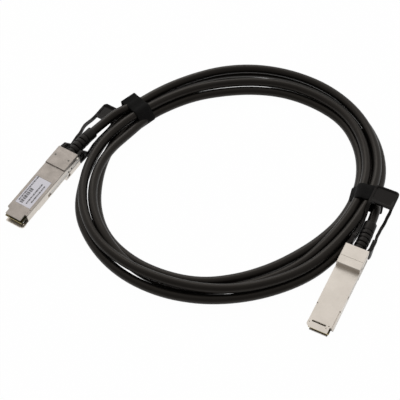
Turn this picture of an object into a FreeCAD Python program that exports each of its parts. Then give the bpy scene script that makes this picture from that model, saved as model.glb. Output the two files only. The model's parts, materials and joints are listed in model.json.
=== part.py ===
import FreeCAD, Part
import math
import os

from FreeCAD import Placement, Rotation, Vector

# A direct attach copper cable: a plug module at each end, joined by one cable
# that is wound into a loose oval coil and held by two straps.
# Millimetres, +Z up. The cable and the two modules lie on the plane z = 0.
# Each module is drawn in its own axes: x runs from the lip back to the cable,
# y across, z up from the belly face. The right one lies belly down, the left
# one belly up.

# Plug module
bodyWidth = 18.35
bodyHeight = 8.5
bodyLength = 56.0  # lip to the front of the head
headLength = 19.0
headRise = 4.0  # the head stands this much above the top face
headDrop = 0.9  # and this much below the belly face
headWidth = 18.6
plate = 1.2  # top plate, belly cover and end walls
sideWall = 1.275
edgeBevel = 0.35
topShoulder = 5.0  # where the top plate reaches its full width
wallFront = 7.7  # where the side walls start
tongueWidth = 13.8
coverFront = 2.0  # the belly tongue stops short of the lip
earFront = 0.4  # the lip is wider on one side
rebateLength = 15.5  # the step along both top edges, from the shoulder back
rebateWidth = 1.05
rebateDepth = 0.8
slotWidth = 1.4
slotLength = 10.4
slotFromShoulder = -0.7
slotShift = 1.2  # towards the ear
pinHole = 0.9
pinHolePlaces = ((3.4, 7.8), (3.4, -4.7), (5.6, -6.0))
wedgeRise = 2.0  # the gap at the back between the belly cover and the side walls
creaseDepth = 0.15
creaseWidth = 0.5
creaseFromBack = 12.0
labelLength = 28.0
labelWidth = 14.2
labelStart = 14.0
labelThick = 0.1
labelInset = 0.04

# Paddle card and its pads
cardThick = 1.0
cardLength = 42.0
cardFront = 1.6
cardBottom = 3.5  # above the belly face
cardBevel = 0.3
padCount = 19
padPitch = 0.8
padWidth = 0.5
padLength = 3.4
padThick = 0.06
padSetback = 0.7
locatorRadius = 0.7
locatorFromBack = 5.0
ledgeWidth = 0.9
memoryLong = 4.4  # the small memory chip every such module carries
memoryWide = 3.9
memoryHigh = 1.1
memoryAcross = 0.9
capLong = 1.6
capWide = 0.8
capHigh = 0.5
clampFootLong = 1.0  # the feet under the roof that hold the card down
clampFootWide = 3.0
clampFootAcross = 5.0
clampFootSetback = 14.0
fit = 0.1  # sliding and locating clearance

# Cable, boot and what holds them
cableDiameter = 7.2
coreDiameter = 6.4
axisHeight = 5.8  # cable axis above the belly face
ferruleLength = 6.5
ferruleAcross = 7.8  # across the flats of its crimped hexagon
pairWide = 1.8
pairHigh = 1.2
pairPitch = 3.6
pairsPerSide = 4
pairLap = 6.0  # how far a pair lies on the card
bootLength = 28.0
ribbedLength = 20.0
ribDiameter = 10.0
grooveDiameter = 8.4
ribCount = 5
grooveShare = 0.35  # of the rib pitch
collarDiameter = 9.0
neckDiameter = 8.2
flangeDiameter = 9.0
flangeThick = 1.0
boreGap = 0.05

# Release slide, springs and pull tab
travel = 2.2
armThick = 0.5
armLow = 4.2
armHigh = 7.2
armSink = 0.08  # the arm lies this deep in its channel
armFront = 36.5
pocketLength = 3.2
armHoleDiameter = 1.0
armHoleHeight = 5.9
armHolePlaces = (60.4, 64.4)
bridgeFront = 1.4  # behind the head's front
bridgeLength = 1.6
bridgeTop = 10.9
flangeLow = 8.2
flangeInner = 4.8
flangeOuter = 7.6
springLength = 4.6
springDiameter = 2.4
springWire = 0.4
springCoils = 3.5
springSteps = 8  # straight steps in each turn of the wire
springAcross = 6.2  # from the middle plane
springHeight = 9.4
postRadius = 1.4
rivetRadius = 0.8
rivetSink = 0.15
rivetFromBack = 9.4
rivetAcross = 6.3
tabGap = 0.3  # behind the head
tabRootLength = 5.0
tabRootSlope = 6.4
tabRootLow = 1.2
tabRootInner = 6.7
tabRootOuter = 9.4
tabArmInner = 7.2
tabArmOuter = 9.4
tabBow = 0.8  # how far the arms stand out beside the boot
tabDip = 2.2  # and how far they dip towards the belly there
tabThick = 2.0
tabHeight = 10.9  # middle of the arms above the belly face
leftTabReach = 60.5  # the tabs' ends, behind the head
rightTabReach = 57.5  # drawn in where it rises over the strap
tabPlate = 14.5  # length of the flat grip
tabCorner = 3.0
tabRim = 1.6
tabBend = 6.0  # radius of the bends in its arms
tabPanelDepth = 0.5
tabDipStart = 19.0  # the low stretch of the arms, behind the head
tabDipEnd = 27.0
tabLiftEnd = 40.0  # from here back the right tab is level again
rightTabLift = 4.7
rightTabInset = 0.9  # its arm beside the coil is pushed in

# Where the modules lie
leftLip = (-143.25, -9.79)
rightLip = (82.0, -106.54)
leftHeading = 58.15
rightHeading = 63.25

# Coil and straps
coilCentre = (23.52, 35.1)
coilMean = 106.8  # the bundle's middle line swings about this radius, twice in a turn
coilSwing = 8.9
coilTurn = 34.3
ovalEnds = 0.82  # radius of the oval's ends, as a share of its half width
coilHalfWidth = 12.0
coilHeight = 15.4
coilBevel = 3.6
plugClearance = 10.8  # the coil keeps this far from a module's middle plane
leftPlugRoom = 64.0  # for this long behind the head
rightPlugRoom = 42.0
strapWidth = 13.0
strapThick = 1.3
strapInnerWidth = 22.4
strapInnerHeight = 13.2
strapRound = 5.0
strapFlap = 5.2
leftStrapAngle = 137.3
rightStrapAngle = -13.2

# The two free leads, in their module's axes: along, across, height above z = 0
leftLeadStraight = 7.5  # each lead leaves its boot straight
rightLeadStraight = 8.0
leftLeadRoute = [(119.2, 1.6, 11.4), (128.0, 5.1, 12.3), (136.5, 10.8, 12.5)]
rightLeadRoute = [(119.5, 1.6, 7.3)]

moduleLength = bodyLength + headLength
headTop = bodyHeight + headRise
halfWidth = bodyWidth / 2
headHalf = headWidth / 2
cavityHalf = halfWidth - sideWall
tongueHalf = tongueWidth / 2
channelHalf = halfWidth - armThick - armSink - fit / 2
cardWidth = 2 * (cavityHalf - fit)
cardTop = cardBottom + cardThick
cardBack = cardFront + cardLength
backWallFront = moduleLength - plate
bootBack = moduleLength + bootLength
bridgeX = bodyLength + bridgeFront
springSeat = bridgeX + bridgeLength + springLength
rivetX = moduleLength - rivetFromBack
ferruleFront = backWallFront - flangeThick - ferruleLength
cableRadius = cableDiameter / 2


def block(x0, x1, y0, y1, z0, z1):
    return Part.makeBox(x1 - x0, y1 - y0, z1 - z0, Vector(x0, y0, z0))


def bothSides(shape):
    return [shape, shape.mirror(Vector(0, 0, 0), Vector(0, 1, 0))]


def sideBlock(x0, x1, y0, y1, z0, z1):
    return bothSides(block(x0, x1, y0, y1, z0, z1))


def post(x, y, z0, z1, radius):
    return Part.makeCylinder(radius, z1 - z0, Vector(x, y, z0))


def rod(start, end, radius):
    run = end.sub(start)
    return Part.makeCylinder(radius, run.Length, start, run)


def straightEdges(shape, wanted):
    """The straight edges for which wanted(middle, direction) is true."""
    picked = []
    for edge in shape.Edges:
        if len(edge.Vertexes) == 2:
            a, b = (v.Point for v in edge.Vertexes)
            if wanted((a + b) * 0.5, (b - a).normalize()):
                picked.append(edge)
    return picked


def rounded(shape, radius, wanted):
    return shape.makeFillet(radius, straightEdges(shape, wanted))


def bevelled(shape, size, wanted):
    return shape.makeChamfer(size, straightEdges(shape, wanted))


def prism(points, direction):
    """A straight prism on a polygon."""
    face = Part.Face(Part.makePolygon([*points, points[0]]))
    return face.extrude(direction)


def makeTopShell():
    roof = block(topShoulder, bodyLength, -halfWidth, halfWidth, bodyHeight - plate, bodyHeight)
    body = block(wallFront, bodyLength, -halfWidth, halfWidth, plate, bodyHeight)
    head = block(bodyLength, moduleLength, -headHalf, headHalf, plate, headTop)
    head = bevelled(head, edgeBevel, lambda m, d: m.z > headTop - 0.01 or abs(d.z) > 0.9 and m.x > bodyLength + 1)
    tongue = block(0, topShoulder, -tongueHalf, tongueHalf, bodyHeight - plate, bodyHeight)
    tongue = rounded(tongue, plate / 2, lambda m, d: abs(d.z) > 0.9 and m.x < 0.01)
    ear = block(earFront, topShoulder, tongueHalf, halfWidth, bodyHeight - plate, bodyHeight)
    ear = bevelled(ear, plate, lambda m, d: abs(d.z) > 0.9 and m.x < topShoulder - 1 and m.y > tongueHalf + 1)
    shell = body.fuse([roof, head, tongue, ear])
    cuts = [
        block(topShoulder - 1, bodyLength + plate + 1, -cavityHalf, cavityHalf, 0, bodyHeight - plate),
        block(bodyLength + plate, backWallFront, -cavityHalf, cavityHalf, 0, headTop - plate),
        block(topShoulder + slotFromShoulder, topShoulder + slotFromShoulder + slotWidth,
              slotShift - slotLength / 2, slotShift + slotLength / 2, bodyHeight - plate - 1, bodyHeight + 1),
        block(moduleLength - creaseFromBack, moduleLength - creaseFromBack + creaseWidth,
              -headHalf + 2 * edgeBevel, headHalf - 2 * edgeBevel, headTop - creaseDepth, headTop + 1),
        prism([Vector(bodyLength + 0.5, -headHalf - 1, plate), Vector(moduleLength + 1, -headHalf - 1, plate),
               Vector(moduleLength + 1, -headHalf - 1, plate + wedgeRise)], Vector(0, headWidth + 2, 0)),
        block(backWallFront - 1, moduleLength + 1, -neckDiameter / 2 - 1, neckDiameter / 2 + 1, 0, axisHeight),
        rod(Vector(backWallFront - 1, 0, axisHeight), Vector(moduleLength + 1, 0, axisHeight), neckDiameter / 2),
    ]
    cuts += [post(x, y, bodyHeight - plate - 1, bodyHeight + 1, pinHole / 2) for x, y in pinHolePlaces]
    cuts += sideBlock(topShoulder - 0.01, topShoulder + rebateLength, halfWidth - rebateWidth, halfWidth + 1,
                      bodyHeight - rebateDepth, bodyHeight + 1)
    cuts += sideBlock(armFront - pocketLength, armFront, channelHalf - 0.2, halfWidth + 1,
                      armLow - 2 * fit, armHigh + 2 * fit)
    cuts += sideBlock(armFront, moduleLength + 1, channelHalf, headHalf + 1, armLow - fit, armHigh + fit)
    cuts += sideBlock(armHolePlaces[0] - armHoleDiameter, armHolePlaces[1] + armHoleDiameter + travel,
                      cavityHalf - 1, channelHalf + 1, armHoleHeight - armHoleDiameter, armHoleHeight + armHoleDiameter)
    cuts += sideBlock(bridgeX - fit, bridgeX + bridgeLength + travel + 2 * fit, channelHalf, headHalf + 1,
                      armHigh, bridgeTop + fit)
    cuts += sideBlock(bridgeX - fit, bridgeX + bridgeLength + travel + 2 * fit, cavityHalf - 1, headHalf + 1,
                      bridgeTop - armThick - fit, bridgeTop + fit)
    shell = shell.cut(cuts)
    holders = sideBlock(springSeat, springSeat + 1.0, flangeInner - 0.2, cavityHalf, flangeLow - 0.6, headTop - plate)
    for side in (-1, 1):
        holders.append(post(rivetX, side * rivetAcross, plate, headTop - plate, postRadius))
        foot = side * clampFootAcross
        holders.append(block(cardBack - clampFootSetback, cardBack - clampFootSetback + clampFootLong,
                             foot - clampFootWide / 2, foot + clampFootWide / 2, cardTop, bodyHeight - plate))
    shell = shell.fuse(holders).removeSplitter()
    return shell.cut([post(rivetX, side * rivetAcross, 0, axisHeight + 1, rivetRadius) for side in (-1, 1)])


def makeBellyCover():
    tongue = block(coverFront, wallFront, -tongueHalf, tongueHalf, 0, plate)
    body = block(wallFront, bodyLength, -halfWidth, halfWidth, 0, plate)
    head = block(bodyLength, moduleLength - 0.6, -headHalf, headHalf, -headDrop, plate)
    head = bevelled(head, edgeBevel, lambda m, d: m.z < 0.01 - headDrop)
    saddle = block(backWallFront, moduleLength - 0.6, -neckDiameter / 2 - 1 + fit, neckDiameter / 2 + 1 - fit,
                   plate, axisHeight)
    ledges = sideBlock(wallFront + 1.5, cardBack - 1, cardWidth / 2 - ledgeWidth, cardWidth / 2, plate, cardBottom)
    locators = [post(cardBack - locatorFromBack, side * cardWidth / 2, plate, cardTop + 0.4, locatorRadius)
                .common(block(0, bodyLength, -cavityHalf, cavityHalf, 0, bodyHeight)) for side in (-1, 1)]
    cover = tongue.fuse([body, head, saddle, *ledges, *locators])
    cuts = [
        block(labelStart, labelStart + labelLength, -labelWidth / 2, labelWidth / 2, -1, labelThick + labelInset),
        rod(Vector(backWallFront - 1, 0, axisHeight), Vector(moduleLength + 1, 0, axisHeight), neckDiameter / 2),
        post(wallFront + 5.2, halfWidth - 1.0, -1, 0.3, 0.4),
        post(wallFront + 2.5, halfWidth - 1.3, -1, 0.25, 0.3),
    ]
    for side in (-1, 1):
        cuts.append(post(rivetX, side * rivetAcross, -headDrop - 1, plate + 1, rivetRadius))
    return cover.cut(cuts).removeSplitter()


def makePaddleCard():
    card = block(cardFront, cardBack, -cardWidth / 2, cardWidth / 2, cardBottom, cardTop)
    front = [e for e in card.Edges if abs(e.CenterOfMass.x - cardFront) < 0.01 and abs(e.CenterOfMass.y) < 0.01]
    card = card.makeChamfer(cardBevel, front)
    notches = [post(cardBack - locatorFromBack, side * cardWidth / 2, 0, bodyHeight, locatorRadius + fit)
               for side in (-1, 1)]
    return card.cut(notches)


def makeContactPads():
    pads = []
    for i in range(padCount):
        y = (i - (padCount - 1) / 2) * padPitch
        for z in (cardTop, cardBottom - padThick):
            pads.append(block(cardFront + padSetback, cardFront + padSetback + padLength,
                              y - padWidth / 2, y + padWidth / 2, z, z + padThick))
    return Part.makeCompound(pads)


def makeCardChips():
    middle = cardFront + cardLength / 2
    chips = [block(middle, middle + memoryLong, -memoryAcross - memoryWide, -memoryAcross,
                   cardTop, cardTop + memoryHigh),
             block(middle, middle + capLong, memoryAcross, memoryAcross + capWide, cardTop, cardTop + capHigh)]
    row = cardFront + cardLength / 4
    for i in range(pairsPerSide):
        y = (i - (pairsPerSide - 1) / 2) * pairPitch
        chips.append(block(row, row + capLong, y - capWide / 2, y + capWide / 2, cardTop, cardTop + capHigh))
    return Part.makeCompound(chips)


def oblong(x, y, z, wide, high):
    """A bevelled rectangle across the x axis, as a closed wire."""
    w, h, c = wide / 2, high / 2, high / 4
    corners = [(-w, c - h), (c - w, -h), (w - c, -h), (w, c - h), (w, h - c), (w - c, h), (c - w, h), (-w, h - c)]
    points = [Vector(x, y + a, z + b) for a, b in corners]
    return Part.makePolygon([*points, points[0]])


def makePairs():
    """The shielded conductor pairs, from the card to the front of the ferrule."""
    half = pairHigh / 2
    pairs = []
    for level, gather in ((cardTop + half, 1.2), (cardBottom - half, -1.2)):
        for i in range(pairsPerSide):
            y = (i - (pairsPerSide - 1) / 2) * pairPitch
            places = [(cardBack - pairLap, y, level), (cardBack + 1, y, level),
                      (ferruleFront - 0.05, y * 0.34, axisHeight + gather)]
            sections = [oblong(*place, pairWide, pairHigh) for place in places]
            pairs.append(Part.makeLoft(sections, True, True))
    return Part.makeCompound(pairs)


def makeFerrule():
    core = rod(Vector(ferruleFront, 0, axisHeight), Vector(ferruleFront + ferruleLength, 0, axisHeight),
               coreDiameter / 2)
    corner = ferruleAcross / math.sqrt(3)
    ring = [Vector(ferruleFront, corner * math.cos(math.radians(60 * i)),
                   axisHeight + corner * math.sin(math.radians(60 * i))) for i in range(6)]
    return prism(ring, Vector(ferruleLength, 0, 0)).cut(core)


def makeCableStub():
    """The cable's end inside the ferrule, the head and the boot."""
    step = Vector(backWallFront - flangeThick, 0, axisHeight)
    core = rod(Vector(ferruleFront, 0, axisHeight), step, coreDiameter / 2)
    return core.fuse(rod(step, Vector(bootBack, 0, axisHeight), cableDiameter / 2))


def makeBoot():
    """A moulded strain relief: a flange and neck held by the shells, ribs, then a plain collar."""
    pitch = ribbedLength / ribCount
    groove = pitch * grooveShare
    flange = backWallFront - flangeThick
    bore = cableDiameter / 2 + boreGap
    outline = [(flange, bore), (flange, flangeDiameter / 2), (backWallFront, flangeDiameter / 2),
               (backWallFront, neckDiameter / 2 - fit), (moduleLength + fit, neckDiameter / 2 - fit)]
    for i in range(ribCount):
        x = moduleLength + fit + i * pitch
        outline += [(x, ribDiameter / 2), (x + pitch - groove, ribDiameter / 2),
                    (x + pitch - groove, grooveDiameter / 2), (x + pitch, grooveDiameter / 2)]
    outline += [(moduleLength + fit + ribbedLength, collarDiameter / 2), (bootBack, collarDiameter / 2),
                (bootBack, bore)]
    points = [Vector(x, 0, axisHeight + r) for x, r in outline]
    profile = Part.Face(Part.makePolygon([*points, points[0]]))
    return profile.revolve(Vector(0, 0, axisHeight), Vector(1, 0, 0), 360)


def makeReleaseSlide():
    """One bent steel piece: an arm in each side of the module and a bridge under the head's roof."""
    outer = halfWidth - armSink
    inner = outer - armThick
    armEnd = moduleLength + tabGap + tabRootLength / 2
    arms = sideBlock(armFront, armEnd, inner, outer, armLow, armHigh)
    risers = sideBlock(bridgeX, bridgeX + bridgeLength, inner, outer, armLow, bridgeTop)
    bridge = block(bridgeX, bridgeX + bridgeLength, -outer, outer, bridgeTop - armThick, bridgeTop)
    lips = sideBlock(bridgeX + bridgeLength - armThick, bridgeX + bridgeLength, flangeInner, flangeOuter,
                     flangeLow, bridgeTop)
    slide = bridge.fuse([*arms, *risers, *lips]).removeSplitter()
    holes = [rod(Vector(x, -headHalf - 1, armHoleHeight), Vector(x, headHalf + 1, armHoleHeight),
                 armHoleDiameter / 2) for x in armHolePlaces]
    return slide.cut(holes)


def makeSprings():
    springs = []
    pitch = (springLength - 2 * fit - springWire) / springCoils
    radius = (springDiameter - springWire) / 2
    for side in (-1, 1):
        steps = int(springCoils * springSteps)
        helix = Part.makePolygon([Vector(radius * math.cos(2 * math.pi * i / springSteps),
                                         radius * math.sin(2 * math.pi * i / springSteps),
                                         pitch * i / springSteps) for i in range(steps + 1)])
        half = springWire / 2
        section = Part.makePolygon([Vector(radius + half * a, 0, half * b)
                                    for a, b in ((-1, -1), (1, -1), (1, 1), (-1, 1), (-1, -1))])
        spring = helix.makePipeShell([section], True, True, 1)
        spring.Placement = Placement(Vector(bridgeX + bridgeLength + fit + springWire / 2, side * springAcross,
                                            springHeight), Rotation(Vector(0, 1, 0), 90))
        springs.append(spring)
    return Part.makeCompound(springs)


def makeRivets():
    rivets = []
    for side in (-1, 1):
        y = side * rivetAcross
        rivets.append(post(rivetX, y, rivetSink - headDrop, axisHeight, rivetRadius - fit / 4))
    return Part.makeCompound(rivets)


def makeLabel():
    gap = fit
    return block(labelStart + gap, labelStart + labelLength - gap, -labelWidth / 2 + gap, labelWidth / 2 - gap,
                 labelInset, labelInset + labelThick)


def armEdge(y, bow, start, end):
    """A shallow arc along one edge of an arm, from start to end, standing out by bow."""
    middle = Vector((start + end) / 2, y + bow, 0)
    return Part.Arc(Vector(start, y, 0), middle, Vector(end, y, 0)).toShape()


def armPlan(bow, grip):
    """The arm on the +y side seen from above, from the root to the grip."""
    start = moduleLength + tabGap
    edges = [
        Part.makeLine(Vector(start, tabArmInner, 0), Vector(start, tabArmOuter, 0)),
        armEdge(tabArmOuter, bow, start, grip),
        Part.makeLine(Vector(grip, tabArmOuter, 0), Vector(grip, tabArmInner, 0)),
        armEdge(tabArmInner, bow, start, grip),
    ]
    return Part.Face(Part.Wire(Part.__sortEdges__(edges)))


def sideBand(lift, end):
    """The tab seen from the side: a band of even thickness that dips beside the boot and ends raised by lift."""
    low, high = tabHeight - tabThick / 2, tabHeight + tabThick / 2
    dipStart = moduleLength + tabGap + tabRootLength + tabRootSlope
    line = [(moduleLength, 0), (dipStart, 0), (moduleLength + tabDipStart, -tabDip),
            (moduleLength + tabDipEnd, -tabDip), (moduleLength + tabLiftEnd, lift), (end + 1, lift)]
    points = [Vector(x, -headHalf - 2, low + up) for x, up in line]
    points += [Vector(x, -headHalf - 2, high + up) for x, up in reversed(line)]
    band = prism(points, Vector(0, headWidth + 4, 0))
    bends = [x for x, up in line[1:-1]]
    return rounded(band, tabBend, lambda m, d: abs(d.y) > 0.9 and any(abs(m.x - x) < 0.1 for x in bends))


def makePullTab(end, lift, bows, slide):
    """The two arms, which stand out by bows on the +y and the -y side, their roots and the grip."""
    start = moduleLength + tabGap
    grip = end - tabPlate
    level = tabHeight + lift
    above = level + 5
    arms = [armPlan(bows[0], grip), armPlan(bows[1], grip).mirror(Vector(0, 0, 0), Vector(0, 1, 0))]
    plan = block(grip - 0.5, end, -tabArmOuter, tabArmOuter, 0, above)
    plan = rounded(plan, tabCorner, lambda m, d: abs(d.z) > 0.9 and m.x > grip)
    tab = sideBand(lift, end).common(plan.fuse([arm.extrude(Vector(0, 0, above)) for arm in arms]))
    for z0, z1 in ((level + tabThick / 2 - tabPanelDepth, above), (0, level - tabThick / 2 + tabPanelDepth)):
        panel = block(grip + tabRim, end - tabRim, -tabArmOuter + tabRim, tabArmOuter - tabRim, z0, z1)
        tab = tab.cut(bevelled(panel, tabCorner / 2, lambda m, d: abs(d.z) > 0.9))
    low, high = tabRootLow, tabHeight + tabThick / 2
    side = [(start, low), (start + tabRootLength, low), (start + tabRootLength + tabRootSlope, high - tabThick),
            (start + tabRootLength + tabRootSlope, high), (start, high)]
    root = prism([Vector(x, tabRootInner, z) for x, z in side], Vector(0, tabRootOuter - tabRootInner, 0))
    root = bevelled(root, 0.5, lambda m, d: abs(d.y) > 0.9 and m.x > start + 1)
    tab = tab.fuse(bothSides(root)).removeSplitter()
    return tab.cut(slide)


def leftPlacement():
    """Belly up, resting on the lip and on the front edge of the raised head."""
    tilt = math.degrees(math.atan2(headRise, bodyLength))
    turn = Rotation(Vector(0, 0, 1), leftHeading) * Rotation(Vector(0, 1, 0), -tilt) * Rotation(Vector(1, 0, 0), 180)
    return Placement(Vector(*leftLip, bodyHeight * math.cos(math.radians(tilt))), turn)


def rightPlacement():
    """Belly down, resting on the belly tongue and on the front edge of the head's belly."""
    tilt = math.degrees(math.atan2(headDrop, bodyLength - coverFront))
    turn = Rotation(Vector(0, 0, 1), rightHeading) * Rotation(Vector(0, 1, 0), -tilt)
    return Placement(Vector(*rightLip, -coverFront * math.sin(math.radians(tilt))), turn)


def ovalWire(grow):
    """Four tangent arcs about the coil's centre, all moved outwards by grow."""
    long, short = coilMean + coilSwing, coilMean - coilSwing
    small = short * ovalEnds
    large = ((long - small) ** 2 / (short - small) + small + short) / 2
    ends = long - small
    sides = large - short
    swing = math.atan2(sides, ends)
    arcs = []
    for i, (cx, cy, radius, middle, half) in enumerate([
            (ends, 0, small, 0, swing), (0, -sides, large, 90, math.pi / 2 - swing),
            (-ends, 0, small, 180, swing), (0, sides, large, 270, math.pi / 2 - swing)]):
        at = [Vector(cx + (radius + grow) * math.cos(a), cy + (radius + grow) * math.sin(a), 0)
              for a in (math.radians(middle) - half, math.radians(middle), math.radians(middle) + half)]
        arcs.append(Part.Arc(*at).toShape())
    return Part.Wire(arcs)


def bundlePoint(angle):
    """The middle line of the bundle at an angle about the coil's centre, and the outward direction."""
    radius = coilMean + coilSwing * math.cos(2 * math.radians(angle - coilTurn))
    outward = Vector(math.cos(math.radians(angle)), math.sin(math.radians(angle)), 0)
    return Vector(*coilCentre, 0) + outward * radius, outward


def strapFrame(angle):
    place, outward = bundlePoint(angle)
    return Placement(place, Rotation(Vector(0, 0, 1), angle))


def strapSection(grow):
    """A rounded bar that runs along the bundle; its outside is the strap's when grow is the strap's thickness."""
    half = strapInnerWidth / 2 + grow
    bar = block(-half, half, -strapWidth / 2, strapWidth / 2, strapThick - grow, strapThick + strapInnerHeight + grow)
    return rounded(bar, strapRound + grow, lambda m, d: abs(d.y) > 0.9)


def makeStrap(angle, flapUp):
    """A hook-and-loop strap round the bundle, with its loose end standing off the outer side."""
    top = 2 * strapThick + strapInnerHeight
    outside = strapInnerWidth / 2 + strapThick
    z0 = top - strapRound - strapThick if flapUp else strapThick + 0.4
    flap = block(outside - 1.0, outside + strapFlap, -strapWidth / 2, strapWidth / 2, z0, z0 + strapThick)
    flap = rounded(flap, 2.0, lambda m, d: abs(d.z) > 0.9 and m.x > outside)
    strap = strapSection(strapThick).fuse(flap).cut(strapSection(0))
    strap.Placement = strapFrame(angle)
    return strap


def plugRoom(placement, cornerY, end):
    """The space beside a module, its boot and its pull tab that the coil stays out of."""
    low, high = sorted((cornerY, -cornerY * 3))
    room = block(0, end, low, high, -60, 60)
    room.Placement = placement
    return room


def makeCoil(straps, rooms):
    outer = Part.Face(ovalWire(coilHalfWidth))
    inner = Part.Face(ovalWire(-coilHalfWidth))
    ring = outer.cut(inner).extrude(Vector(0, 0, coilHeight))
    rims = [e for e in ring.Edges if e.BoundBox.ZLength < 0.01]
    ring = ring.makeChamfer(coilBevel, rims)
    ring.Placement = Placement(Vector(*coilCentre, 0), Rotation(Vector(0, 0, 1), coilTurn))
    for angle in straps:
        slab = block(-40, 40, -strapWidth / 2, strapWidth / 2, -5, coilHeight + 5).cut(strapSection(0))
        slab.Placement = strapFrame(angle)
        ring = ring.cut(slab)
    return ring.cut(rooms)


def leadPoints(placement, straight, route):
    """The lead's corners: straight out of the boot's end, then along its route."""
    points = [placement.multVec(Vector(bootBack + run, 0, axisHeight)) for run in (0, straight)]
    for along, across, height in route:
        flat = placement.multVec(Vector(along, across, axisHeight))
        points.append(Vector(flat.x, flat.y, height))
    return points


def makeTube(name, points):
    """A tube of the cable's size along straight runs joined by tangent arcs."""
    edges, here = [], points[0]
    for before, corner, after in zip(points, points[1:], points[2:]):
        back, on = (before - corner), (after - corner)
        reach = 0.45 * min(back.Length, on.Length)
        turn = math.pi - back.getAngle(on)
        radius = reach / math.tan(turn / 2)
        a, b = corner + back.normalize() * reach, corner + on.normalize() * reach
        bulge = (a + b) * 0.5 - corner
        middle = corner + bulge.normalize() * (math.hypot(reach, radius) - radius)
        edges += [Part.LineSegment(here, a).toShape(), Part.Arc(a, middle, b).toShape()]
        here = b
        print(f"{name}: radius {radius:.0f} mm, turn {math.degrees(turn):.0f} degrees")
    edges.append(Part.LineSegment(here, points[-1]).toShape())
    path = Part.Wire(edges)
    section = Part.Wire(Part.makeCircle(cableRadius, points[0], points[1] - points[0]))
    tube = path.makePipeShell([section], True, False)
    print(f"{name}: {path.Length:.1f} mm long, volume {tube.Volume:.0f}, expected "
          f"{path.Length * math.pi * cableRadius ** 2:.0f}")
    return tube


def makeModule(side, placement, tabShape):
    slide = makeReleaseSlide()
    pieces = {
        "top_shell": makeTopShell(),
        "belly_cover": makeBellyCover(),
        "paddle_card": makePaddleCard(),
        "contact_pads": makeContactPads(),
        "card_chips": makeCardChips(),
        "conductor_pairs": makePairs(),
        "crimp_ferrule": makeFerrule(),
        "cable_stub": makeCableStub(),
        "strain_relief": makeBoot(),
        "release_slide": slide,
        "return_springs": makeSprings(),
        "rivets": makeRivets(),
        "pull_tab": makePullTab(*tabShape, slide),
    }
    if side == "left":
        pieces["label"] = makeLabel()
    return {f"{side}_{name}": placed(shape, placement) for name, shape in pieces.items()}


def placed(shape, placement):
    moved = shape.copy()
    moved.Placement = placement * moved.Placement
    return moved


left, right = leftPlacement(), rightPlacement()
leftTab = (moduleLength + leftTabReach, 0, (tabBow, tabBow))
rightTab = (moduleLength + rightTabReach, rightTabLift, (-rightTabInset, tabBow))
nodes = {**makeModule("left", left, leftTab), **makeModule("right", right, rightTab)}
rooms = [plugRoom(left, plugClearance, moduleLength + leftPlugRoom),
         plugRoom(right, plugClearance, moduleLength + rightPlugRoom)]
nodes["cable_coil"] = makeCoil((leftStrapAngle, rightStrapAngle), rooms)
nodes["left_lead"] = makeTube("left_lead", leadPoints(left, leftLeadStraight, leftLeadRoute))
nodes["right_lead"] = makeTube("right_lead", leadPoints(right, rightLeadStraight, rightLeadRoute))
nodes["left_strap"] = makeStrap(leftStrapAngle, True)
nodes["right_strap"] = makeStrap(rightStrapAngle, False)

os.makedirs("parts", exist_ok=True)
for name, shape in nodes.items():
    if not shape.isValid():
        print(name, "is not a valid solid")
    shape.exportStep(f"parts/{name}.step")
print(len(nodes), "nodes written")
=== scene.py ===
import bmesh
import bpy
import math
from mathutils import Matrix, Vector
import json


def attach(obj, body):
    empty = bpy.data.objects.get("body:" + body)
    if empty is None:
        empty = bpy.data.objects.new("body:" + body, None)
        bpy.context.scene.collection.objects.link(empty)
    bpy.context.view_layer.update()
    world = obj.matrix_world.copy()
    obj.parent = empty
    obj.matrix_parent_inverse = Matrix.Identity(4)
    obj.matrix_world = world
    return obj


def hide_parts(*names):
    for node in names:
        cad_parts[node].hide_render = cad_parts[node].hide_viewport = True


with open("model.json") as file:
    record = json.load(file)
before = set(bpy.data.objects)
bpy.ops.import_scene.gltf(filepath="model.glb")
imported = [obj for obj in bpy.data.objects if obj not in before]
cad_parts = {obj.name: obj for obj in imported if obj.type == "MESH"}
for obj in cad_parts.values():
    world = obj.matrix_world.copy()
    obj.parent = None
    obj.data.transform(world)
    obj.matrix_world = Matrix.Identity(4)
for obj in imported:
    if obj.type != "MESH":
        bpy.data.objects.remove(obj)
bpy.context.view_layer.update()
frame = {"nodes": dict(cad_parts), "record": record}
mm = 0.001
bodyHigh = 8.5  # a module's height in front of its head

# where the modules lie: lip, heading and tilt, and if it is belly up
modules = {
    "left": {"lip": (-143.25, -9.79), "heading": 58.15, "tilt": 4.086, "flipped": True},
    "right": {"lip": (82.0, -106.54), "heading": 63.25, "tilt": 0.955, "flipped": False},
}


def modulePoint(side, along, across, height):
    # a point given along and across a module, at a height above the floor
    m = modules[side]
    turn = math.radians(m["heading"])
    reach = along * math.cos(math.radians(m["tilt"]))
    aside = -across if m["flipped"] else across
    x = m["lip"][0] + reach * math.cos(turn) - aside * math.sin(turn)
    y = m["lip"][1] + reach * math.sin(turn) + aside * math.cos(turn)
    return Vector((x * mm, y * mm, height * mm))


def smoothStep(share):
    return share * share * (3 - 2 * share)


def limited(value):
    return max(0.0, min(1.0, value))


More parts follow.
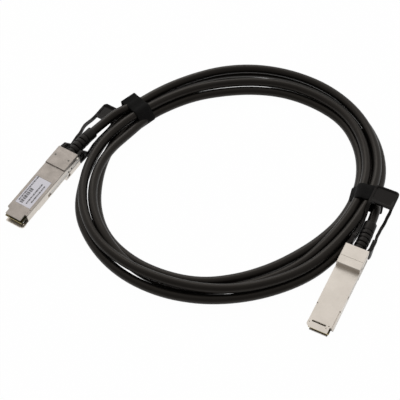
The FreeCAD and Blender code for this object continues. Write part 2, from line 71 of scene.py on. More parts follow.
class Wire:
    # a socket that can be used in sums
    def __init__(self, tree, socket):
        self.tree = tree
        self.socket = socket

    def maths(self, operation, a, b=None):
        node = self.tree.nodes.new("ShaderNodeMath")
        node.operation = operation
        for socket, value in zip(node.inputs, (a, b)):
            if isinstance(value, Wire):
                self.tree.links.new(value.socket, socket)
            elif value is not None:
                socket.default_value = value
        return Wire(self.tree, node.outputs[0])

    def __add__(self, other):
        return self.maths("ADD", self, other)

    def __radd__(self, other):
        return self.maths("ADD", other, self)

    def __sub__(self, other):
        return self.maths("SUBTRACT", self, other)

    def __rsub__(self, other):
        return self.maths("SUBTRACT", other, self)

    def __mul__(self, other):
        return self.maths("MULTIPLY", self, other)

    def __rmul__(self, other):
        return self.maths("MULTIPLY", other, self)

    def __lt__(self, other):
        return self.maths("LESS_THAN", self, other)

    def clamped(self):
        node = self.tree.nodes.new("ShaderNodeClamp")
        self.tree.links.new(self.socket, node.inputs[0])
        return Wire(self.tree, node.outputs[0])


class Shading:
    # a node tree, and the one way its nodes are made and joined
    def __init__(self, tree):
        self.tree = tree

    def node(self, kind, settings=None, **sockets):
        node = self.tree.nodes.new("ShaderNode" + kind)
        for key, value in (settings or {}).items():
            setattr(node, key, value)
        for key, value in sockets.items():
            self.plug(node.inputs[int(key[1:]) if key[0] == "i" and key[1:].isdigit() else key], value)
        return node

    def plug(self, socket, value):
        if isinstance(value, Wire):
            self.tree.links.new(value.socket, socket)
        elif isinstance(value, bpy.types.NodeSocket):
            self.tree.links.new(value, socket)
        else:
            isColour = isinstance(value, tuple) and socket.type == "RGBA"
            socket.default_value = (*value, 1) if isColour else value

    def wire(self, node, output=0):
        return Wire(self.tree, node.outputs[output])


class Finish(Shading):
    # one material and its shader
    names = {
        "colour": "Base Color",
        "roughness": "Roughness",
        "metallic": "Metallic",
        "normal": "Normal",
        "specular": "Specular IOR Level",
        "specularTint": "Specular Tint",
        "coat": "Coat Weight",
        "sheen": "Sheen Weight",
        "sheenRoughness": "Sheen Roughness",
    }

    def __init__(self, name):
        self.material = bpy.data.materials.new(name)
        self.material.use_nodes = True
        super().__init__(self.material.node_tree)
        self.shader = self.tree.nodes["Principled BSDF"]

    def place(self, scale=(1, 1, 1), turn=0.0):
        coordinates = self.node("TexCoord")
        mapping = self.node("Mapping", Vector=coordinates.outputs["Object"])
        mapping.inputs["Scale"].default_value = scale
        mapping.inputs["Rotation"].default_value = (0, 0, turn)
        return mapping.outputs[0]

    def noise(self, vector, size, detail=3.0, roughness=0.55):
        node = self.node("TexNoise", Vector=vector, Scale=1 / size, Detail=detail, Roughness=roughness)
        return self.wire(node)

    def mix(self, factor, a, b):
        node = self.node("Mix", {"data_type": "RGBA"})
        self.plug(node.inputs[0], factor)
        self.plug(node.inputs[6], a)
        self.plug(node.inputs[7], b)
        return Wire(self.tree, node.outputs[2])

    def bump(self, height, strength, distance):
        return self.node("Bump", Height=height, Strength=strength, Distance=distance).outputs[0]

    def set(self, **sockets):
        for key, value in sockets.items():
            self.plug(self.shader.inputs[self.names[key]], value)
        return self.material


def castNickel():
    # nickel-plated die casting: satin, with faint handling marks
    look = {"pale": (0.74, 0.69, 0.63), "dull": (0.62, 0.575, 0.52), "roughness": 0.34}
    f = Finish("castNickel")
    cloud = f.noise(f.place(), 0.011, 4)
    grain = f.noise(f.place(), 0.00035, 2)
    return f.set(
        colour=f.mix((cloud * 1.6 - 0.3).clamped(), look["pale"], look["dull"]),
        roughness=cloud * 0.12 + look["roughness"],
        metallic=1.0,
        normal=f.bump(grain, 0.12, 0.00002),
    )


def rolledCover():
    # the belly plate: duller and more handled than the casting
    look = {"pale": (0.37, 0.335, 0.305), "dull": (0.295, 0.268, 0.243), "roughness": 0.42}
    f = Finish("rolledCover")
    cloud = f.noise(f.place(), 0.006, 5)
    grain = f.noise(f.place(), 0.0004, 2)
    return f.set(
        colour=f.mix((cloud * 1.8 - 0.4).clamped(), look["pale"], look["dull"]),
        roughness=cloud * 0.14 + look["roughness"],
        metallic=1.0,
        normal=f.bump(grain, 0.15, 0.00002),
    )


def bentSteel():
    f = Finish("bentSteel")
    streak = f.noise(f.place((1, 1, 12), 0.5), 0.004, 3)
    return f.set(colour=(0.52, 0.50, 0.47), roughness=streak * 0.2 + 0.28, metallic=1.0)


def drawnWire():
    f = Finish("drawnWire")
    mark = f.noise(f.place(), 0.002)
    return f.set(colour=(0.56, 0.55, 0.54), roughness=mark * 0.2 + 0.2, metallic=1.0)


def alongModule(f, side):
    # distance back from the lip, in metres
    turn = math.radians(modules[side]["heading"])
    axis = (math.cos(turn), math.sin(turn), 0.0)
    place = f.node("TexCoord").outputs["Object"]
    reach = f.node("VectorMath", {"operation": "DOT_PRODUCT"}, i0=place, i1=axis)
    return f.wire(reach, "Value") - modulePoint(side, 0, 0, 0).dot(Vector(axis))


def shadedCardLitEdge(side):
    # dark green mask over copper, darkened as painted shade, with a bare gold front edge painted bright as a
    # highlight
    look = {
        "dark": (0.030, 0.032, 0.012),
        "light": (0.075, 0.068, 0.025),
        "edge": (0.80, 0.66, 0.30),
        # where the front edge's painted highlight ends, back from the lip
        "litEdgeEnd": 1.95,  # back from the lip
    }
    f = Finish("shadedCardLitEdge" + side.title())
    cloud = f.noise(f.place(), 0.003)
    # a bright gold band at the front edge, painted as a highlight, over the mask darkened as painted shade
    edge = alongModule(f, side) < look["litEdgeEnd"] * mm
    shadedMask = f.mix(cloud, look["dark"], look["light"])
    return f.set(colour=f.mix(edge, shadedMask, look["edge"]), roughness=0.35)


def padGold():
    # thin gold, dim in the shade of the shell
    f = Finish("padGold")
    mark = f.noise(f.place(), 0.001)
    return f.set(colour=f.mix(mark, (0.20, 0.15, 0.06), (0.32, 0.25, 0.11)),
                 roughness=mark * 0.15 + 0.35, metallic=1.0)


def chipBody():
    f = Finish("chipBody")
    mark = f.noise(f.place(), 0.0006)
    return f.set(colour=(0.03, 0.03, 0.032), roughness=mark * 0.2 + 0.5)


def pairFoil():
    f = Finish("pairFoil")
    crease = f.noise(f.place(), 0.0012)
    return f.set(colour=(0.74, 0.75, 0.78), roughness=crease * 0.2 + 0.2, metallic=1.0,
                 normal=f.bump(crease, 0.4, 0.0001))


def dullBrass():
    f = Finish("dullBrass")
    mark = f.noise(f.place(), 0.002)
    return f.set(colour=f.mix(mark, (0.58, 0.40, 0.16), (0.66, 0.49, 0.24)),
                 roughness=mark * 0.2 + 0.3, metallic=1.0)


def cableJacket():
    # smooth black PVC with a soft sheen
    look = {"deep": (0.004, 0.0037, 0.0034), "worn": (0.009, 0.008, 0.0072), "roughness": 0.33}
    f = Finish("cableJacket")
    cloud = f.noise(f.place(), 0.02, 3)
    grain = f.noise(f.place(), 0.0006, 2)
    return f.set(
        colour=f.mix(cloud, look["deep"], look["worn"]),
        roughness=cloud * 0.12 + look["roughness"],
        specular=0.26,
        specularTint=(1.0, 0.9, 0.8),
        normal=f.bump(grain, 0.15, 0.00004),
    )


def bootRubber():
    f = Finish("bootRubber")
    cloud = f.noise(f.place(), 0.004, 3)
    grain = f.noise(f.place(), 0.0003, 2)
    return f.set(
        colour=f.mix(cloud, (0.005, 0.005, 0.005), (0.011, 0.010, 0.010)),
        roughness=cloud * 0.15 + 0.42,
        specular=0.22,
        specularTint=(1.0, 0.92, 0.84),
        normal=f.bump(grain, 0.2, 0.00004),
    )


def tabPlastic():
    # moulded nylon with a fine spark-eroded grain
    f = Finish("tabPlastic")
    grain = f.noise(f.place(), 0.00045, 2)
    return f.set(
        colour=(0.0065, 0.006, 0.0057),
        roughness=0.42,
        specular=0.15,
        specularTint=(1.0, 0.94, 0.9),
        normal=f.bump(grain, 0.35, 0.00006),
    )


def strapTape():
    # brushed loop side of hook-and-loop tape
    f = Finish("strapTape")
    fuzz = f.noise(f.place(), 0.0007, 5, 0.75)
    cloud = f.noise(f.place(), 0.006, 2)
    return f.set(
        colour=f.mix((fuzz * 0.7 + cloud * 0.5).clamped(), (0.0025, 0.0025, 0.0025), (0.009, 0.0088, 0.0085)),
        roughness=0.86,
        specular=0.1,
        sheen=0.03,
        sheenRoughness=0.5,
        normal=f.bump(fuzz, 0.8, 0.00025),
    )


def labelFilm():
    f = Finish("labelFilm")
    return f.set(colour=(0.74, 0.73, 0.80), roughness=0.35, coat=0.3)


def rivetHead():
    f = Finish("rivetHead")
    mark = f.noise(f.place(), 0.0006, 3)
    return f.set(colour=f.mix(mark, (0.13, 0.125, 0.115), (0.22, 0.21, 0.19)), roughness=0.6, metallic=1.0)


def holeShade():
    # the unlit bottom of a small hole
    f = Finish("holeShade")
    mark = f.noise(f.place(), 0.0004)
    return f.set(colour=f.mix(mark, (0.010, 0.009, 0.008), (0.018, 0.016, 0.014)),
                 roughness=0.9, specular=0.1)


def labelInk():
    f = Finish("labelInk")
    wornThin = f.noise(f.place(), 0.0011, 3)
    return f.set(colour=f.mix(wornThin, (0.07, 0.07, 0.075), (0.22, 0.22, 0.23)), roughness=0.5)


finishes = {
    "module_metal": castNickel(),
    "cover_metal": rolledCover(),
    "card_laminate": shadedCardLitEdge("left"),
    "right_card": shadedCardLitEdge("right"),
    "rivet_head": rivetHead(),
    "hole_shade": holeShade(),
    "pad_gold": padGold(),
    "chip_body": chipBody(),
    "pair_jacket": pairFoil(),
    "ferrule_brass": dullBrass(),
    "cable_jacket": cableJacket(),
    "boot_rubber": bootRubber(),
    "slide_steel": bentSteel(),
    "spring_wire": drawnWire(),
    "rivet_steel": bentSteel(),
    "tab_plastic": tabPlastic(),
    "label_film": labelFilm(),
    "strap_fabric": strapTape(),
}


def wear(obj, slot):
    obj.data.materials.clear()
    obj.data.materials.append(finishes[slot])


for part in frame["record"]["subparts"]:
    wear(frame["nodes"][part["node"]], part["material_slot"])
for side in modules:
    wear(frame["nodes"][side + "_belly_cover"], "cover_metal")
    wear(frame["nodes"][side + "_rivets"], "rivet_head")
wear(frame["nodes"]["right_paddle_card"], "right_card")
print("finishes on the frame's nodes")

cable = {
    "diameter": 7.2,
    "middle": (23.52, 35.1),
    "radius": 106.8,
    "swing": 8.9,  # the oval's radius swings this much, twice in a turn
    "longWay": 34.3,
    "wholeTurns": 4,
    "stepsInTurn": 24,
    "leftTie": 137.3,
    "rightTie": -13.2,
}

# Where each pass lies in the bundle: out from its middle line, and above the floor.
# Far passes run clockwise from the left tie to the right one, near passes on round to the left tie.
farLanes = {
    137.3: [(5.2, 11.0), (-3.1, 10.7), (-7.4, 4.9), (1.2, 4.9), (9.2, 4.9)],
    115.0: [(7.2, 9.9), (-3.6, 9.3), (-8.0, 3.7), (0.8, 3.7), (10.2, 3.7)],
    85.0: [(9.2, 10.6), (-5.5, 8.6), (-11.2, 3.7), (0.7, 3.7), (10.8, 3.7)],
    55.0: [(8.4, 9.8), (-4.2, 9.4), (-9.3, 3.7), (-0.6, 3.7), (10.6, 3.7)],
    30.0: [(7.6, 9.8), (-1.2, 9.6), (-4.7, 3.7), (2.6, 3.7), (10.6, 3.7)],
    5.0: [(6.4, 9.9), (-2.4, 9.6), (-6.4, 3.7), (1.4, 3.7), (10.9, 3.7)],
    -13.2: [(4.2, 11.1), (-3.2, 11.1), (-6.9, 4.9), (0.5, 4.9), (7.9, 4.9)],
}
nearLanes = {
    -13.2: [(4.2, 11.1), (-3.2, 11.1), (-6.9, 4.9), (0.5, 4.9)],
    -23.0: [(3.6, 11.2), (-3.6, 10.0), (-6.6, 4.0), (6.8, 4.0)],
    -36.0: [(4.6, 9.9), (-2.5, 8.6), (-7.6, 3.7), (9.0, 3.7)],
    -60.0: [(8.2, 9.5), (-0.1, 3.7), (-8.1, 3.7), (12.4, 3.7)],
    -90.0: [(6.4, 9.7), (1.6, 3.7), (-6.5, 3.7), (10.8, 3.7)],
    -105.0: [(4.0, 10.2), (2.6, 3.7), (-4.8, 3.7), (10.0, 3.7)],
    -120.0: [(2.4, 10.8), (2.0, 3.7), (-5.6, 3.7), (9.4, 3.7)],
    -150.0: [(5.5, 10.8), (-1.7, 10.2), (-4.1, 3.7), (8.4, 3.7)],
    -165.0: [(5.0, 10.8), (-2.6, 10.6), (-5.6, 3.7), (8.7, 3.7)],
    -180.0: [(3.9, 10.8), (-4.4, 10.7), (-6.6, 3.7), (5.2, 3.7)],
    -192.0: [(2.4, 10.6), (-7.4, 10.0), (-4.6, 3.7), (4.2, 3.7)],
    -203.0: [(0.2, 10.6), (-10.6, 8.2), (-3.1, 3.9), (4.2, 3.9)],
    -213.0: [(-1.3, 11.6), (-10.2, 6.2), (-1.0, 4.4), (6.6, 4.4)],
    -222.7: [(-3.1, 10.7), (-7.4, 4.9), (1.2, 4.9), (9.2, 4.9)],
}


def laneAt(lanes, number, angle):
    stations = sorted(lanes, reverse=True)
    for start, end in zip(stations, stations[1:]):
        if end <= angle <= start:
            share = smoothStep((start - angle) / (start - end))
            a, b = lanes[start][number], lanes[end][number]
            return a[0] + (b[0] - a[0]) * share, a[1] + (b[1] - a[1]) * share
    raise ValueError(f"no station at {angle}")


def coilPoint(angle, out, height):
    a = math.radians(angle)
    radius = cable["radius"] + cable["swing"] * math.cos(2 * (a - math.radians(cable["longWay"]))) + out
    x, y = cable["middle"]
    return Vector((x + radius * math.cos(a), y + radius * math.sin(a), height)) * mm


def coilRun():
    # every pass in order, from the left tie to the right tie on the last far pass
    points = []
    step = 360 / cable["stepsInTurn"]
    start, end = cable["leftTie"], cable["rightTie"]
    for number in range(cable["wholeTurns"] + 1):
        farSteps = round((start - end) / step)
        for i in range(farSteps):
            angle = start + (end - start) * i / farSteps
            points.append(coilPoint(angle, *laneAt(farLanes, number, angle)))
        if number == cable["wholeTurns"]:
            points.append(coilPoint(end, *farLanes[end][number]))
            return points
        nearSteps = round((360 - start + end) / step)
        for i in range(nearSteps):
            angle = end - (360 - start + end) * i / nearSteps
            points.append(coilPoint(angle, *laneAt(nearLanes, number, angle)))


# Each lead from inside the head to the bundle: along and across its module, and above the floor.
leads = {
    "left": [(72.8, 0.0, 7.88), (80.0, 0.2, 8.39), (90.0, 0.9, 9.1), (100.0, 1.9, 9.82),
             (110.5, 3.9, 10.6), (119.5, 5.8, 11.5), (128.0, 8.0, 12.4), (136.5, 11.6, 12.4)],
    "right": [(72.8, 0.0, 6.98), (78.0, -0.5, 7.06), (86.0, -0.9, 7.19), (95.0, -0.6, 7.34),
              (104.0, -0.2, 7.49), (111.0, 0.2, 7.6), (119.5, 1.4, 7.3)],
}
freeFrom = 98.0  # the cable's own line starts here, inside the boots' collars


def splineCurve(name, points):
    curve = bpy.data.curves.new(name, "CURVE")
    curve.dimensions = "3D"
    curve.resolution_u = 6
    spline = curve.splines.new("NURBS")
    spline.points.add(len(points) - 1)
    for target, place in zip(spline.points, points):
        target.co = (*place, 1)
    spline.order_u = 3
    spline.use_endpoint_u = True
    obj = bpy.data.objects.new(name, curve)
    bpy.context.collection.objects.link(obj)
    return obj


def makeCable():
    free = {side: [modulePoint(side, *p) for p in leads[side] if p[0] > freeFrom] for side in leads}
    points = free["left"] + coilRun() + free["right"][::-1]
    obj = splineCurve("cable", points)
    obj.data.bevel_depth = cable["diameter"] / 2 * mm
    obj.data.bevel_resolution = 5
    obj.data.use_fill_caps = True
    wear(obj, "cable_jacket")
    print(f"cable: {len(points)} points")
    return obj, points


cableRun, cablePoints = makeCable()
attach(cableRun, "cable")
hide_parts("cable_coil", "left_lead", "right_lead")

boot = {
    "flangeRadius": 4.5,
    "neckRadius": 4.05,
    "neckStart": 1.0,  # all lengths from the piece's front, inside the head
    "ribStart": 2.25,
    "ribs": 5,
    "pitch": 4.0,
    "slit": 1.05,
    "ribRadius": 5.0,
    "shallow": 4.55,  # the slits go round, deep at two opposite places, a quarter turn on at each rib
    "deep": 3.95,
    "collarRadius": 4.85,
    "end": 30.2,
    "edge": 0.28,
    "steps": 48,
    "deepFrom": 0.45,  # a slit starts to deepen where it faces the deep place by this much
    "deepOver": 0.3,
}


def lineOf(points):
    # places along the smooth line that a route gives
    obj = splineCurve("route", points)
    mesh = bpy.data.meshes.new_from_object(obj)
    line = [v.co.copy() for v in mesh.vertices]
    bpy.data.meshes.remove(mesh)
    bpy.data.curves.remove(obj.data)
    return line


def alongLine(line, run):
    for a, b in zip(line, line[1:]):
        step = (b - a).length
        if run <= step:
            return a + (b - a) * (run / step), (b - a).normalized()
        run -= step
    return line[-1], (line[-1] - line[-2]).normalized()


def meshObject(name, mesh, slot, smooth=True):
    data = bpy.data.meshes.new(name)
    mesh.to_mesh(data)
    mesh.free()
    if smooth:
        data.shade_smooth()
        data.set_sharp_from_angle(angle=math.radians(38))
    obj = bpy.data.objects.new(name, data)
    bpy.context.collection.objects.link(obj)
    wear(obj, slot)
    return obj


def makeBoot(side):
    # turned about its own axis, slit, then laid on the lead's line
    outline = [(0.0, 0.0), (0.0, boot["flangeRadius"]), (boot["neckStart"], boot["flangeRadius"]),
               (boot["neckStart"], boot["neckRadius"]), (boot["ribStart"], boot["neckRadius"]),
               (boot["ribStart"], boot["ribRadius"])]
    for rib in range(boot["ribs"]):
        end = boot["ribStart"] + (rib + 1) * boot["pitch"]
        after = boot["ribRadius"] if rib < boot["ribs"] - 1 else boot["collarRadius"]
        outline += [(end - boot["slit"], boot["ribRadius"]), (end - boot["slit"], boot["shallow"]),
                    (end, boot["shallow"]), (end, after)]
    outline += [(boot["end"], boot["collarRadius"]), (boot["end"], 0.0)]
    mesh = bmesh.new()
    verts = [mesh.verts.new((x, 0, r)) for x, r in outline]
    edges = [mesh.edges.new(pair) for pair in zip(verts, verts[1:])]
    bmesh.ops.spin(mesh, geom=verts + edges, cent=(0, 0, 0), axis=(1, 0, 0), angle=math.tau,
                   steps=boot["steps"], use_merge=True)
    bmesh.ops.remove_doubles(mesh, verts=mesh.verts, dist=0.001)
    bmesh.ops.recalc_face_normals(mesh, faces=mesh.faces)
    for v in mesh.verts:
        reach = math.hypot(v.co.y, v.co.z)
        if boot["ribStart"] < v.co.x and abs(reach - boot["shallow"]) < 0.01:
            rib = int((v.co.x - boot["ribStart"] + 0.1) / boot["pitch"] - 0.2)
            facing = abs(v.co.z if rib % 2 else v.co.y) / reach
            depth = limited((facing - boot["deepFrom"]) / boot["deepOver"])
            scale = 1 + (boot["deep"] / boot["shallow"] - 1) * depth
            v.co.y *= scale
            v.co.z *= scale
    sharp = [e for e in mesh.edges if len(e.link_faces) == 2 and e.calc_face_angle() > 1.0
             and min(math.hypot(v.co.y, v.co.z) for v in e.verts) > boot["collarRadius"] - 0.1]
    bmesh.ops.bevel(mesh, geom=sharp, affect="EDGES", offset=boot["edge"], segments=3, profile=0.5,
                    material=-1)
    line = lineOf([modulePoint(side, *p) for p in leads[side]])
    for v in mesh.verts:
        place, ahead = alongLine(line, v.co.x * mm)
        across = ahead.cross(Vector((0, 0, 1))).normalized()
        v.co = place + (across * v.co.y + across.cross(ahead) * v.co.z) * mm
    obj = meshObject(side + "_boot", mesh, "boot_rubber")
    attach(obj, "cable")
    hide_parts(side + "_strain_relief", side + "_cable_stub")


for side in modules:
    makeBoot(side)
print("boots")

strap = {
    "width": 14.2,
    "thick": 1.2,
    "sag": 0.5,  # how far the tape sinks in between two passes
    "sagShare": 0.7,  # and no more than this share of the gap there
    "sagTo": 8.0,  # it sinks towards this height
    "angles": {"left": 138.6, "right": -13.2},
    "headings": {"left": 43.5, "right": 73.0},
    "ends": {"left": (12.1, 13.9), "right": (13.4, 2.2)},  # the folded loose end: out, and height
    "fold": 0.7,
}


def strapFrame(side):
    # outwards, along the ring and up, at the bundle's middle line
    turn = math.radians(strap["headings"][side])
    ahead = Vector((math.cos(turn), math.sin(turn), 0))
    across = ahead.cross(Vector((0, 0, 1)))
    middle = coilPoint(strap["angles"][side], 0, 0)
    if across.dot(coilPoint(strap["angles"][side], 1, 0) - middle) < 0:
        across = -across
        ahead = -ahead
    turned = Matrix((across, ahead, (0, 0, 1))).transposed().to_4x4()
    return Matrix.Translation(middle) @ turned @ Matrix.Scale(mm, 4)


def makeStrap(side):
    # the tape lies on the hull of the passes it holds, and sinks in a little between them
    passes = farLanes[cable[side + "Tie"]]
    radius = cable["diameter"] / 2
    half = strap["width"] / 2
    mesh = bmesh.new()
    rods = [(out, height, radius) for out, height in passes] + [(*strap["ends"][side], strap["fold"])]
    for out, height, thick in rods:
        place = Matrix.Translation((out, 0, height)) @ Matrix.Rotation(math.pi / 2, 4, "X")
        bmesh.ops.create_cone(mesh, cap_ends=True, segments=48, radius1=thick, radius2=thick,
                              depth=strap["width"], matrix=place)
    found = bmesh.ops.convex_hull(mesh, input=mesh.verts)
    loose = [g for g in found["geom_interior"] + found["geom_unused"] if isinstance(g, bmesh.types.BMVert)]
    bmesh.ops.delete(mesh, geom=loose, context="VERTS")
    ends = [f for f in mesh.faces if abs(f.normal.y) > 0.9 or abs(f.calc_center_median().y) > half - 0.01]
    bmesh.ops.delete(mesh, geom=ends, context="FACES")
    bmesh.ops.dissolve_limit(mesh, angle_limit=0.02, verts=mesh.verts, edges=mesh.edges)
    across = [e for e in mesh.edges if abs(e.verts[0].co.y - e.verts[1].co.y) < 0.01
              and e.calc_length() > strap["thick"]]
    bmesh.ops.subdivide_edges(mesh, edges=across, cuts=7, use_grid_fill=True)
    for v in mesh.verts:
        gap = min(math.hypot(v.co.x - out, v.co.z - height) - thick for out, height, thick in rods)
        inwards = Vector((-v.co.x, 0, strap["sagTo"] - v.co.z)).normalized()
        v.co += inwards * min(strap["sag"], gap * strap["sagShare"])
    rings = [e for e in mesh.edges if abs(e.verts[0].co.y - e.verts[1].co.y) > 1]
    bmesh.ops.subdivide_edges(mesh, edges=rings, cuts=3, use_grid_fill=True)
    bmesh.ops.recalc_face_normals(mesh, faces=mesh.faces)
    bmesh.ops.transform(mesh, matrix=strapFrame(side), verts=mesh.verts)
    obj = meshObject(side + "_tape", mesh, "strap_fabric")
    wall = obj.modifiers.new("wall", "SOLIDIFY")
    wall.thickness = strap["thick"] * mm
    wall.offset = 1.0
    soft = obj.modifiers.new("soft", "BEVEL")
    soft.width = 0.3 * mm
    soft.segments = 2
    soft.limit_method = "ANGLE"
    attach(obj, "cable")
    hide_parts(side + "_strap")


for side in modules:
    makeStrap(side)
print("straps")

# How far each arm swings sideways, by its place along the module, and how far the grip reaches forward.
tabs = {
    "left": {
        "plus": [(74, 0.0), (135.6, 0.8)],
        "minus": [(74, 0.0), (84, 1.3), (97, 1.9), (109, -0.3), (120, 0.4), (135.6, 0.7)],
        "reach": 0.0,
    },
    "right": {
        "plus": [(74, 0.0), (79, -1.4), (92, -1.5), (106, -2.0), (114, -1.7), (135.6, -1.6)],
        "minus": [(74, 0.0), (77, -1.1), (84, -1.0), (93, 0.1), (99, 0.0), (107, -1.1), (115, -2.1),
                  (135.6, -2.1)],
        "reach": 2.0,
    },
}
gripReach = [(106, 0.0), (118, 1.0), (127, 0.0), (135.6, 0.0)]  # the share of the reach, by place
tabCuts = range(76, 134, 2)  # the arms can bend at these places
tabHalf = 6.0  # an arm's sway fades into the other's over this much to each side of the middle


def eased(stations, place):
    for (a, low), (b, high) in zip(stations, stations[1:]):
        if a <= place < b:
            return low + (high - low) * smoothStep((place - a) / (b - a))
    return 0.0


def makeTab(side):
    # the moulded tab, pushed a little to one side over its length
    m = modules[side]
    turn = math.radians(m["heading"])
    ahead = Vector((math.cos(turn), math.sin(turn), 0))
    across = Vector((-math.sin(turn), math.cos(turn), 0)) * (-1 if m["flipped"] else 1)
    origin = modulePoint(side, 0, 0, 0)
    mesh = bmesh.new()
    mesh.from_mesh(frame["nodes"][side + "_pull_tab"].data)
    bmesh.ops.remove_doubles(mesh, verts=mesh.verts, dist=0.000002)
    for along in tabCuts:
        bmesh.ops.bisect_plane(mesh, geom=mesh.verts[:] + mesh.edges[:] + mesh.faces[:], dist=0.000001,
                               plane_co=origin + ahead * along * mm, plane_no=ahead)
    for v in mesh.verts:
        place = v.co - origin
        along, off = place.dot(ahead) / mm, place.dot(across) / mm
        plus, minus = eased(tabs[side]["plus"], along), eased(tabs[side]["minus"], along)
        share = smoothStep(limited(off / (2 * tabHalf) + 0.5))
        reach = tabs[side]["reach"] * eased(gripReach, along)
        v.co += (across * (minus + (plus - minus) * share) - ahead * reach) * mm
    obj = meshObject(side + "_tab", mesh, "tab_plastic")
    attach(obj, side + "_latch")
    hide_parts(side + "_pull_tab")


for side in modules:
    makeTab(side)
print("tabs")

armHoles = {
    "along": (60.67, 64.66),
    "height": 2.58,
    "across": 9.09,
    "radius": 0.72,
    "thick": 0.1,
}


def makeHoleShades(side):
    # a dark disc over each round hole in the latch arms
    m, h = modules[side], armHoles
    tilt = math.radians(m["tilt"])
    mesh = bmesh.new()
    turn = Matrix.Rotation(math.radians(m["heading"]), 4, "Z") @ Matrix.Rotation(math.pi / 2, 4, "X")
    for along in h["along"]:
        height = h["height"] + along * math.sin(tilt)
        for across in (-h["across"], h["across"]):
            place = Matrix.Translation(modulePoint(side, along, across, height)) @ turn
            bmesh.ops.create_cone(mesh, cap_ends=True, segments=20, radius1=h["radius"] * mm,
                                  radius2=h["radius"] * mm, depth=h["thick"] * mm, matrix=place)
    obj = meshObject(side + "_hole_shades", mesh, "hole_shade")
    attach(obj, side + "_latch")


makeHoleShades("left")

labelPrint = {
    "start": 14.0,
    "length": 28.0,
    "width": 14.2,
    "height": 0.13,  # above the belly face
    "rows": [(0.82, 0.18, 0.76), (0.62, 0.09, 0.83), (0.12, 0.10, 0.92)],  # across, from, to, as shares
    "dashes": (1.9, 0.9, 2.6, 1.2, 0.8, 2.1, 1.5, 0.7),
    "dashWidth": 1.0,
    "space": 0.5,
    "barcode": (0.31, 0.06, 0.56),
    "bars": (0.5, 0.25, 0.25, 0.7, 0.3, 0.5, 0.25, 0.9, 0.3),
    "barWidth": 2.9,
}


def printBar(mesh, along, length, across, width):
    # a flat bar on the label, in the module's own axes
    tilt = math.radians(modules["left"]["tilt"])
    middle = along + length / 2
    height = bodyHigh * math.cos(tilt) + math.sin(tilt) * middle + labelPrint["height"]
    place = Matrix.Translation(modulePoint("left", middle, across, height))
    turn = Matrix.Rotation(math.radians(modules["left"]["heading"]), 4, "Z") @ Matrix.Rotation(-tilt, 4, "Y")
    size = Matrix.Diagonal((length * mm, width * mm, 1, 1))
    bmesh.ops.create_grid(mesh, x_segments=1, y_segments=1, size=0.5, matrix=place @ turn @ size)


def makeLabelPrint():
    # rows of dashes and one block of bars, with no words
    p = labelPrint
    mesh = bmesh.new()
    for row, (share, start, end) in enumerate(p["rows"]):
        along, stop = p["start"] + start * p["length"], p["start"] + end * p["length"]
        number = row * 3
        while along < stop:
            length = p["dashes"][number % len(p["dashes"])]
            printBar(mesh, along, length, (share - 0.5) * p["width"], p["dashWidth"])
            along += length + p["space"]
            number += 1
    share, start, end = p["barcode"]
    along, stop = p["start"] + start * p["length"], p["start"] + end * p["length"]
    number = 0
    while along < stop:
        length = p["bars"][number % len(p["bars"])]
        printBar(mesh, along, length, (share - 0.5) * p["width"], p["barWidth"])
        along += length + p["bars"][(number + 4) % len(p["bars"])]
        number += 1
    obj = meshObject("label_bars", mesh, "label_film", smooth=False)
    obj.data.materials[0] = labelInk()
    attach(obj, "cable")


makeLabelPrint()
print("label bars")


studio = {
    "floorHalf": 4.0,
    "floorHeight": -0.0003,
    "floorGlow": 0.985,  # the share of white that the camera sees, the rest takes the shadow
    "ambient": (1.0, 0.98, 0.96),
    "spread": {"From Min": -0.7, "From Max": 0.75, "To Min": 0.34, "To Max": 0.95},
    "lampPlace": (-0.3, 1.3, 1.0),
    "lampSize": (0.9, 0.6),
    "lampPower": 5,
}


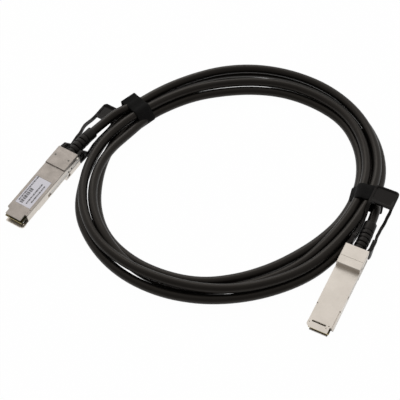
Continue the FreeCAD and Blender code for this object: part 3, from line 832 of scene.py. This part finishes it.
def makeFloor():
    mesh = bmesh.new()
    bmesh.ops.create_grid(mesh, x_segments=1, y_segments=1, size=studio["floorHalf"])
    data = bpy.data.meshes.new("floor")
    mesh.to_mesh(data)
    mesh.free()
    obj = bpy.data.objects.new("floor", data)
    bpy.context.collection.objects.link(obj)
    obj.location.z = studio["floorHeight"]
    f = Finish("floorPaper")
    f.set(colour=(0.86, 0.86, 0.86), roughness=0.9)
    rays = f.node("LightPath")
    seen = (f.wire(rays, "Is Camera Ray") + f.wire(rays, "Is Glossy Ray")
            + f.wire(rays, "Is Transmission Ray")).clamped()
    glow = f.node("Emission", Color=(1.0, 1.0, 1.0), Strength=1.0)
    blend = f.node("MixShader", i0=seen * studio["floorGlow"], i1=f.shader.outputs[0], i2=glow.outputs[0])
    f.plug(f.tree.nodes["Material Output"].inputs["Surface"], blend.outputs[0])
    data.materials.append(f.material)


def makeLamp():
    light = bpy.data.lights.new("backBox", "AREA")
    light.shape = "RECTANGLE"
    light.size, light.size_y = studio["lampSize"]
    light.energy = studio["lampPower"]
    obj = bpy.data.objects.new("backBox", light)
    bpy.context.collection.objects.link(obj)
    obj.location = studio["lampPlace"]
    obj.rotation_euler = (-Vector(studio["lampPlace"])).to_track_quat("-Z", "Y").to_euler()


def makeWorld():
    # a soft studio: bright behind the cable, dimmer towards the viewer
    world = bpy.data.worlds.new("studio")
    world.use_nodes = True
    bpy.context.scene.world = world
    sky = Shading(world.node_tree)
    axes = sky.node("SeparateXYZ", i0=sky.node("TexCoord").outputs["Generated"])
    spread = sky.node("MapRange", {"interpolation_type": "SMOOTHSTEP"}, Value=axes.outputs["Y"],
                      **studio["spread"])
    ambient = sky.tree.nodes["Background"]
    sky.plug(ambient.inputs["Color"], studio["ambient"])
    sky.plug(ambient.inputs["Strength"], sky.wire(spread))
    white = sky.node("Background", Color=(1.0, 1.0, 1.0))
    rays = sky.node("LightPath")
    blend = sky.node("MixShader", i0=rays.outputs["Is Camera Ray"], i1=ambient.outputs[0],
                     i2=white.outputs[0])
    sky.plug(sky.tree.nodes["World Output"].inputs["Surface"], blend.outputs[0])


camera = {"place": (-0.00027, -0.46712, 0.6176), "downward": 52.06, "lens": 90.56, "sensor": 36.0}


def makeCamera():
    data = bpy.data.cameras.new("camera")
    data.lens = camera["lens"]
    data.sensor_width = camera["sensor"]
    obj = bpy.data.objects.new("camera", data)
    bpy.context.collection.objects.link(obj)
    obj.location = camera["place"]
    obj.rotation_euler = (math.radians(90 - camera["downward"]), 0, 0)
    bpy.context.scene.camera = obj


makeFloor()
makeWorld()
makeLamp()
makeCamera()
bpy.context.scene.view_settings.view_transform = "Standard"
print("stage is set")
